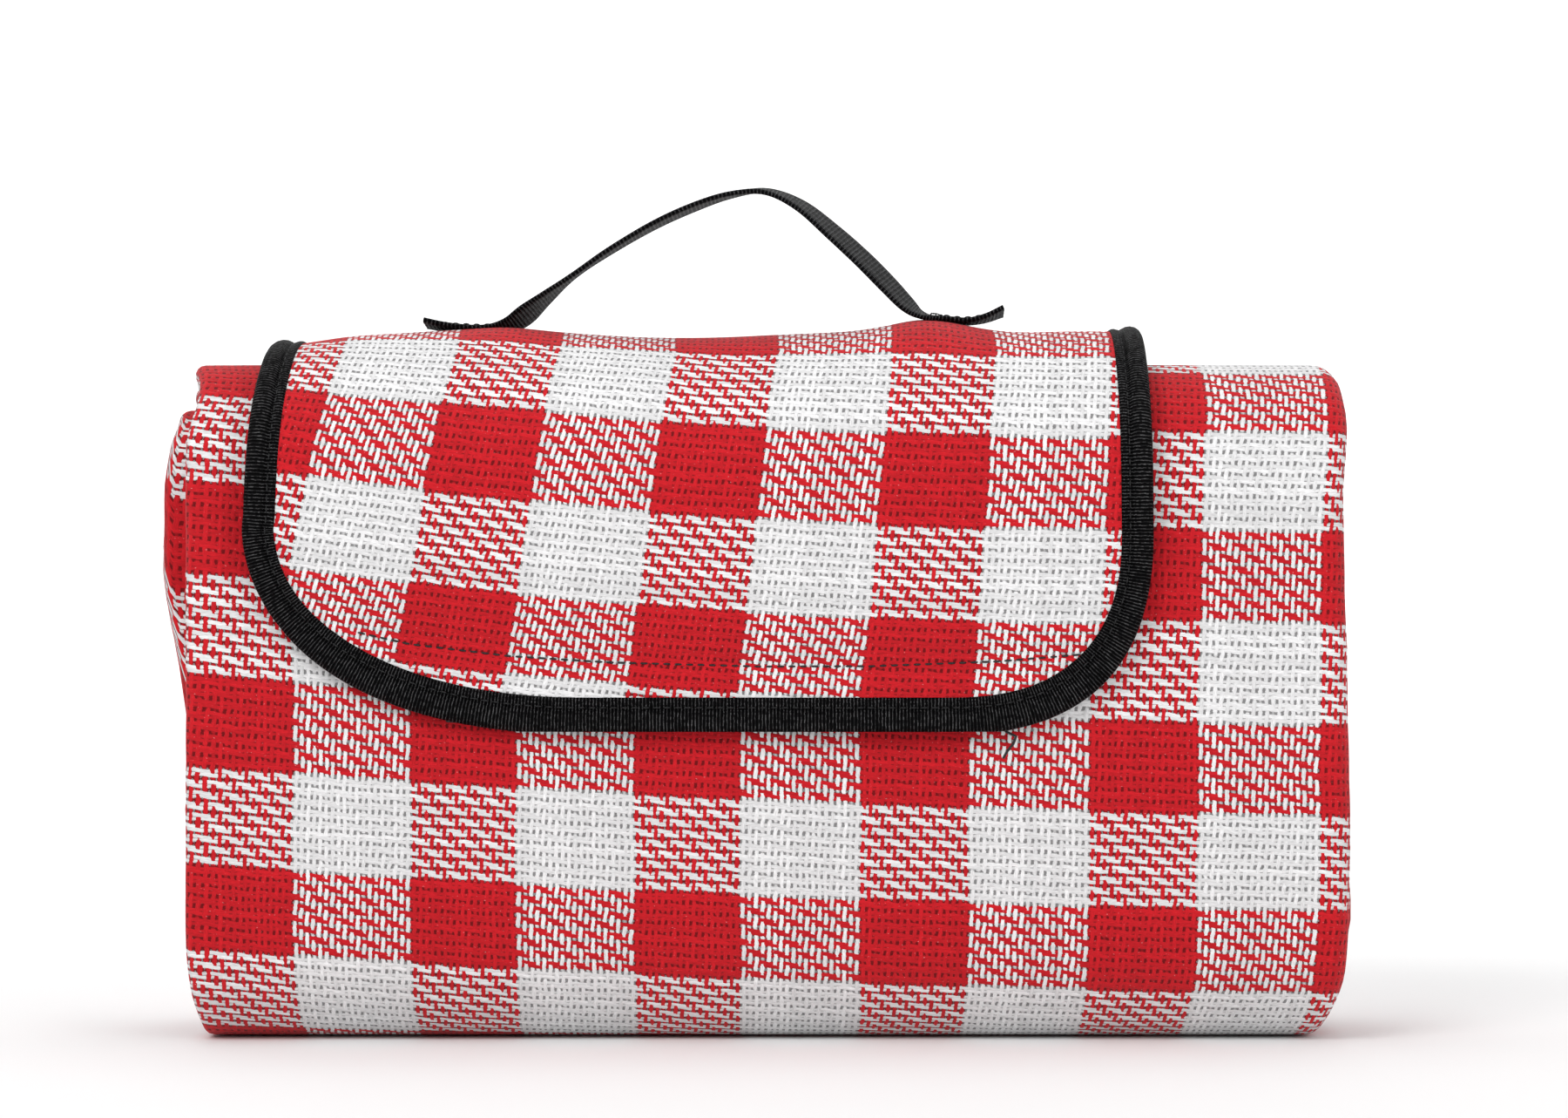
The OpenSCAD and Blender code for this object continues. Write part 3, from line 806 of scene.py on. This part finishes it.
def sweep_outline(name, section, material, wrap):
    """A band swept round the flap's outline. section is (depth from the edge, height) pairs."""
    rings = []
    # The band is wider along the flap's lower edge
    wide = smooth_step(FLAP_LEN - 45, FLAP_LEN - 8, OUTLINE[:, 1])[:, None]
    for depth, proud in section:
        moved = inset(OUTLINE, depth * (1 + 0.16 * wide) - 1.1 * wide)
        rings.append(flap_place(moved[:, 0], moved[:, 1], proud))
    points = np.stack(rings, 1)
    length = run_length(OUTLINE)[-1]
    uvs = tube_uvs(len(OUTLINE), len(section), length, wrap)[:, :, ::-1]
    return grid_object(name, points, uvs, material, closed_rows=True, closed_cols=True, flip=True)


BINDING_SECTION = [
    (9.9, -0.6), (9.7, 0.3), (9.1, 0.7), (8.4, 0.8), (7.6, 0.6), (7.1, 0.15), (6.7, -0.2),
    (6.3, 0.1), (5.7, 0.9), (4.7, 1.45), (3.4, 1.65), (2.0, 1.35), (0.9, 0.6), (0.3, -0.4),
    (0.1, -1.7), (0.3, -3.0), (0.7, -3.9), (2.0, -4.25), (5.0, -4.35), (8.8, -4.25),
    (10.2, -3.8), (10.6, -2.2),
]

flap_cloth, flap_lining = make_flap()
BINDING_ROUND = 26.0        # length round the binding's section
binding = sweep_outline("flap_binding_bound", BINDING_SECTION, TAPE, BINDING_ROUND)


def stitch_row(name, line, normals, length, gap, radius, material):
    """A row of stitches along points. Each one is a small bent spindle that dives at both ends."""
    along = run_length(line)
    rings, sides = 6, 6
    points, faces, uvs = [], [], []
    start = gap / 2
    while start + length < along[-1]:
        base = len(points)
        for r in range(rings + 1):
            share = r / rings
            at_run = start + length * share
            at = np.array([np.interp(at_run, along, line[:, k]) for k in range(3)])
            up = np.array([np.interp(at_run, along, normals[:, k]) for k in range(3)])
            up /= np.linalg.norm(up)
            ahead = np.array([np.interp(at_run + 0.2, along, line[:, k]) for k in range(3)])
            behind = np.array([np.interp(at_run - 0.2, along, line[:, k]) for k in range(3)])
            side = np.cross(ahead - behind, up)
            side /= np.linalg.norm(side)
            thick = radius * (0.35 + 0.65 * math.sin(math.pi * share) ** 0.5)
            lift = radius * (1.5 * math.sin(math.pi * share) ** 0.6 - 1.0)
            for s in range(sides):
                a = 2 * math.pi * s / sides
                points.append(at + up * (lift + thick * math.sin(a)) + side * thick * math.cos(a))
        for r in range(rings):
            for s in range(sides):
                t = (s + 1) % sides
                faces.append((base + r * sides + s, base + r * sides + t,
                              base + (r + 1) * sides + t, base + (r + 1) * sides + s))
                for rr, ss in ((r, s), (r, s + 1), (r + 1, s + 1), (r + 1, s)):
                    uvs.append(((start + length * rr / rings) / UV_UNIT, ss / sides / UV_UNIT))
        start += length + gap
    return finish_mesh(name, points, np.array(faces), uvs, material)


def on_flap(x, run, proud):
    """Points on the flap and the normals there."""
    line = flap_place(x, run, proud)
    return line, flap_place(x, run, proud + 1.0) - line


STITCH_INSET = 7.2          # the binding's stitches lie beside its groove
groove = inset(OUTLINE, STITCH_INSET)
groove = np.vstack((groove, groove[:1]))
binding_stitches = stitch_row(
    "flap_binding_stitches", *on_flap(groove[:, 0], groove[:, 1], 0.25), 2.3, 0.9, 0.22, THREAD
)
seam_x = np.linspace(-121, 97, 120)
hook_stitches = stitch_row(
    "hook_seam_stitches", *on_flap(seam_x, run_of_z(seam_z(seam_x)), 0.15), 2.6, 0.8, 0.32, THREAD
)
for piece, finish, nodes in (
    (flap_cloth, "woven_cloth", ("spine_face", "flap_face", "spine_foam", "flap_foam")),
    (flap_lining, "backing_film", ("spine_lining", "flap_lining")),
    (binding, "binding_tape", ("spine_binding", "flap_binding")),
    (binding_stitches, "thread", ()),
):
    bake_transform(piece)
    if nodes:
        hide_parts(*nodes)
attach(hook_stitches, "flap")
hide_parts("hook_seam")

for row, run in enumerate((12.5, 19.2)):
    x = np.linspace(SPINE_LO[0] + 12, SPINE_HI[0] - 12, 110)
    piece = stitch_row(f"root_stitches_{row}", *on_flap(x, np.full(110, run), 0.15), 2.8, 0.9,
                       0.32, THREAD)
    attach(piece, "packet")
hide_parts("root_seam")

# ---------- hook strip and loop strip ----------


def patch(name, low, high, back, front, material, corner=2.0):
    """A thin pad with softened corners, from back to front along Y."""
    cols, rows = 90, 14
    u = np.linspace(0, 1, cols)
    v = np.linspace(0, 1, rows)
    u, v = np.meshgrid(u, v)
    rim = np.minimum(np.minimum(u * (cols - 1), (1 - u) * (cols - 1)),
                     np.minimum(v * (rows - 1), (1 - v) * (rows - 1)))
    rise = np.clip(rim, 0, 1)       # 0 on the rim, 1 inside it
    x = low[0] + (high[0] - low[0]) * u
    z = high[2] - (high[2] - low[2]) * v
    edge = np.abs(2 * u - 1) ** 20 * np.abs(2 * v - 1) ** 6 * corner
    x = x - np.sign(u - 0.5) * edge * 0.5
    z = z + np.sign(v - 0.5) * edge * 0.5
    y = back + (front - back) * rise + 0.12 * ripple(x, z, 6, 5) * rise
    points = np.stack((x, y, z), 2)
    uvs = np.stack((x, z), 2) / UV_UNIT
    return grid_object(name, points, uvs, material, flip=front > back)


loop_low = LOOP_LO - np.array((0, 0, 2.0))          # its corners show below the flap
loop_patch = patch("loop_strip_pile", loop_low, LOOP_HI, LOOP_HI[1] + 1.0, LOOP_LO[1], LOOPS)
hook_low = HOOK_LO + np.array((4.0, 0, 0))
hook_high = HOOK_HI - np.array((4.0, 0, 0))
hook_patch = patch("hook_strip_pile", hook_low, hook_high, HOOK_LO[1] - 0.5, HOOK_HI[1], HOOKS)
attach(loop_patch, "packet")
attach(hook_patch, "flap")
for piece, node in ((loop_patch, "loop_strip"), (hook_patch, "hook_strip")):
    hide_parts(node)


def rectangle_line(low, high, margin, y):
    """A closed rectangle of points in the packet's front plane."""
    x0, x1, z0, z1 = low[0] + margin, high[0] - margin, low[2] + margin, high[2] - margin
    corners = np.array([(x0, y, z0), (x1, y, z0), (x1, y, z1), (x0, y, z1), (x0, y, z0)])
    return resample(corners, 1.5)


loop_line = rectangle_line(LOOP_LO, LOOP_HI, 2.5, LOOP_LO[1] - 0.05)
loop_stitches = stitch_row("loop_strip_stitches", loop_line,
                           np.tile((0, -1.0, 0), (len(loop_line), 1)), 2.6, 0.9, 0.2, THREAD)
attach(loop_stitches, "packet")
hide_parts("loop_seam")



def thread_tail(name, points, radius):
    """A loose end of thread along points."""
    line = resample(np.array(points, float), 0.6)
    ahead = np.gradient(line, axis=0)
    ahead /= np.linalg.norm(ahead, axis=1)[:, None]
    side = np.cross(ahead, (0, -1.0, 0))
    side /= np.linalg.norm(side, axis=1)[:, None]
    up = np.cross(side, ahead)
    turn = np.radians(np.arange(0, 360, 60))[None, :, None]
    rings = line[:, None] + radius * (side[:, None] * np.cos(turn) + up[:, None] * np.sin(turn))
    uvs = tube_uvs(len(line), rings.shape[1], run_length(line)[-1], 2)
    return grid_object(name, rings, uvs, THREAD, closed_cols=True)


TAIL = [(70.5, -50.2, 97.0), (73.5, -50.9, 94.2), (76.2, -51.4, 93.0), (75.4, -51.7, 90.8),
        (73.6, -51.4, 88.6), (72.4, -50.8, 86.4)]
tail = thread_tail("loop_strip_thread_tail", TAIL, 0.4)
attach(tail, "packet")

# ---------- the handle ----------

# The webbing's middle line: x, height, and degrees that its front edge is lifted
HANDLE = np.array([
    (-104, 218.9, 3), (-98, 217.8, 2), (-91, 217.3, 0), (-84, 217.2, 1), (-78, 218.4, 6),
    (-73, 221.6, 9), (-67, 226.6, 4), (-58, 233.8, -2), (-47, 241.3, -1), (-33, 249.4, 0),
    (-20, 255.2, 0), (-9, 258.7, -2), (1.5, 259.6, -6), (12, 255.2, -10), (22.5, 246.6, -13),
    (31.5, 238.4, -14), (39, 230.8, -14), (45, 224.6, -12), (49.5, 221.4, -6), (56, 220.0, 0),
    (63, 219.4, 0), (69, 220.4, 2), (74.5, 222.6, 4),
])
WEB_HALF, WEB_THICK = 12.5, 1.6


def spline(points, spacing):
    """A smooth line through points, evenly spaced."""
    out = []
    padded = np.vstack((2 * points[0] - points[1], points, 2 * points[-1] - points[-2]))
    for k in range(1, len(padded) - 2):
        a, b, c, d = padded[k - 1:k + 3]
        for t in np.linspace(0, 1, 12, endpoint=False):
            out.append(0.5 * (2 * b + (c - a) * t + (2 * a - 5 * b + 4 * c - d) * t ** 2
                              + (3 * b - a - 3 * c + d) * t ** 3))
    out.append(points[-1])
    return resample(np.array(out), spacing)


def web_frame():
    """Middle line of the webbing, its direction across, and its outward normal."""
    line = spline(HANDLE, 1.6)
    at = np.stack((line[:, 0], np.zeros(len(line)), line[:, 1]), 1)
    ahead = np.gradient(at, axis=0)
    ahead /= np.linalg.norm(ahead, axis=1)[:, None]
    up = np.stack((-ahead[:, 2], np.zeros(len(line)), ahead[:, 0]), 1)
    lift = np.radians(line[:, 2])[:, None]
    front = np.array((0, -1.0, 0))
    across = np.cos(lift) * front + np.sin(lift) * up
    return at, across, np.cross(ahead, across) * -1


def make_handle():
    """The webbing in one piece, and its grid of points."""
    at, across, normal = web_frame()
    half, thick = WEB_HALF, WEB_THICK / 2
    section = [(s, 1.0) for s in np.linspace(-0.94, 0.94, 13)]
    section += [(1.0, 0.4), (1.0, -0.4)]
    section += [(s, -1.0) for s in np.linspace(0.94, -0.94, 13)]
    section += [(-1.0, -0.4), (-1.0, 0.4)]
    rings = []
    for s, n in section:
        crown = 1 + 0.12 * math.cos(s * math.pi * 3)
        rings.append(at + across * half * s + normal * thick * n * crown)
    points = np.stack(rings, 1)
    around = 2 * (2 * half + 2 * thick)
    uvs = tube_uvs(len(at), len(section), run_length(at)[-1], around)[:, :, ::-1]
    body = grid_object("handle_webbing_strap", points, uvs, WEBBING, closed_cols=True)
    return body, points


def close_ends(obj, rings, cols):
    """Caps the two ends of a tube."""
    work = bmesh.new()
    work.from_mesh(obj.data)
    work.verts.ensure_lookup_table()
    for ring in (0, rings - 1):
        work.faces.new([work.verts[ring * cols + c] for c in range(cols)])
    bmesh.ops.recalc_face_normals(work, faces=work.faces)
    work.to_mesh(obj.data)
    work.free()


handle, HANDLE_POINTS = make_handle()
close_ends(handle, *HANDLE_POINTS.shape[:2])
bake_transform(handle)
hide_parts("handle_tab_left", "handle_tab_right", "handle_strap")


def tab_box(x_from, x_to):
    """A box of stitches with a cross through one sewn end of the handle."""
    at, _, normal = web_frame()
    corners = [(x_from, -9), (x_to, -9), (x_to, 9), (x_from, 9), (x_from, -9), (x_to, 9)]
    line = resample(np.array(corners, float), 1.2)
    order = np.argsort(at[:, 0])
    z = np.interp(line[:, 0], at[order, 0], at[order, 2])
    up = np.stack([np.interp(line[:, 0], at[order, 0], normal[order, k]) for k in range(3)], 1)
    points = np.stack((line[:, 0], line[:, 1], z), 1) + up * (WEB_THICK / 2 + 0.1)
    return points, up


for side, (x_from, x_to) in {"left": (-99, -81), "right": (52, 70)}.items():
    piece = stitch_row(f"tab_stitches_{side}", *tab_box(x_from, x_to), 2.4, 0.8, 0.26, THREAD)
    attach(piece, "packet")
    if side == "left":
        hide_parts("tab_seams")

# ---------- studio ----------


SWEEP_TONE = (0.90, 0.90, 0.90, 1)
SWEEP_Y, SWEEP_R = 1200, 900            # where the floor starts to turn up, and its radius
SWEEP_NEAR, SWEEP_TALL, SWEEP_HALF = -4000, 4500, 5000
LAMPS = (                               # name, place in metres, diameter, watts
    ("key", (-0.9, -1.7, 1.5), 1.2, 23),
    ("fill", (1.3, -1.8, 0.9), 1.4, 12),
    ("top", (0.0, 0.2, 1.8), 1.4, 8),
    ("back", (0.0, 1.2, 1.4), 2.0, 14),
)
PACKET_MIDDLE = (0, 0, 0.12)
SWEEP_MIDDLE = (0, 1.8, 0.8)
CAMERA_PLACE = (0.0068, -1.548, 0.146)
CAMERA_LENS = 114.9


def studio():
    """A seamless pale sweep, soft lights, and the camera."""
    p = Paint("studio_sweep")
    grain = p.noise(p.add("ShaderNodeTexCoord").outputs["Object"], 3.0)
    material = p.finish(p.shade(SWEEP_TONE, p.ramp(grain, 0, 1, 0.995, 1.0)), roughness=0.9)
    line = [(SWEEP_NEAR, 0), (SWEEP_Y, 0)]
    line += [(SWEEP_Y + SWEEP_R * math.sin(a), SWEEP_R - SWEEP_R * math.cos(a))
             for a in np.radians(np.linspace(0, 90, 24)[1:])]
    line.append((SWEEP_Y + SWEEP_R, SWEEP_TALL))
    points = np.array([[(x, y, z) for x in (-SWEEP_HALF, SWEEP_HALF)] for y, z in line], float)
    floor = grid_object("studio_sweep", points, tube_uvs(len(line), 2, 1, 1), material, flip=True)

    world = bpy.data.worlds.new("studio")
    world.use_nodes = True
    world.node_tree.nodes["Background"].inputs[0].default_value = (1, 1, 1, 1)
    world.node_tree.nodes["Background"].inputs[1].default_value = 0.55
    bpy.context.scene.world = world

    for name, place, size, power in LAMPS:
        lamp = bpy.data.lights.new(name, "AREA")
        lamp.shape = "DISK"
        lamp.size = size
        lamp.energy = power
        obj = bpy.data.objects.new(name, lamp)
        obj.location = place
        target = SWEEP_MIDDLE if name == "back" else PACKET_MIDDLE
        aim = Vector(target) - Vector(place)
        obj.rotation_euler = aim.to_track_quat("-Z", "Y").to_euler()
        bpy.context.scene.collection.objects.link(obj)

    camera = bpy.data.cameras.new("camera")
    camera.sensor_width = 36
    camera.lens = CAMERA_LENS
    camera.clip_end = 50
    obj = bpy.data.objects.new("camera", camera)
    obj.location = CAMERA_PLACE
    obj.rotation_euler = (math.pi / 2, 0, 0)
    bpy.context.scene.collection.objects.link(obj)
    bpy.context.scene.camera = obj
    bpy.context.scene.view_settings.view_transform = "Standard"


studio()
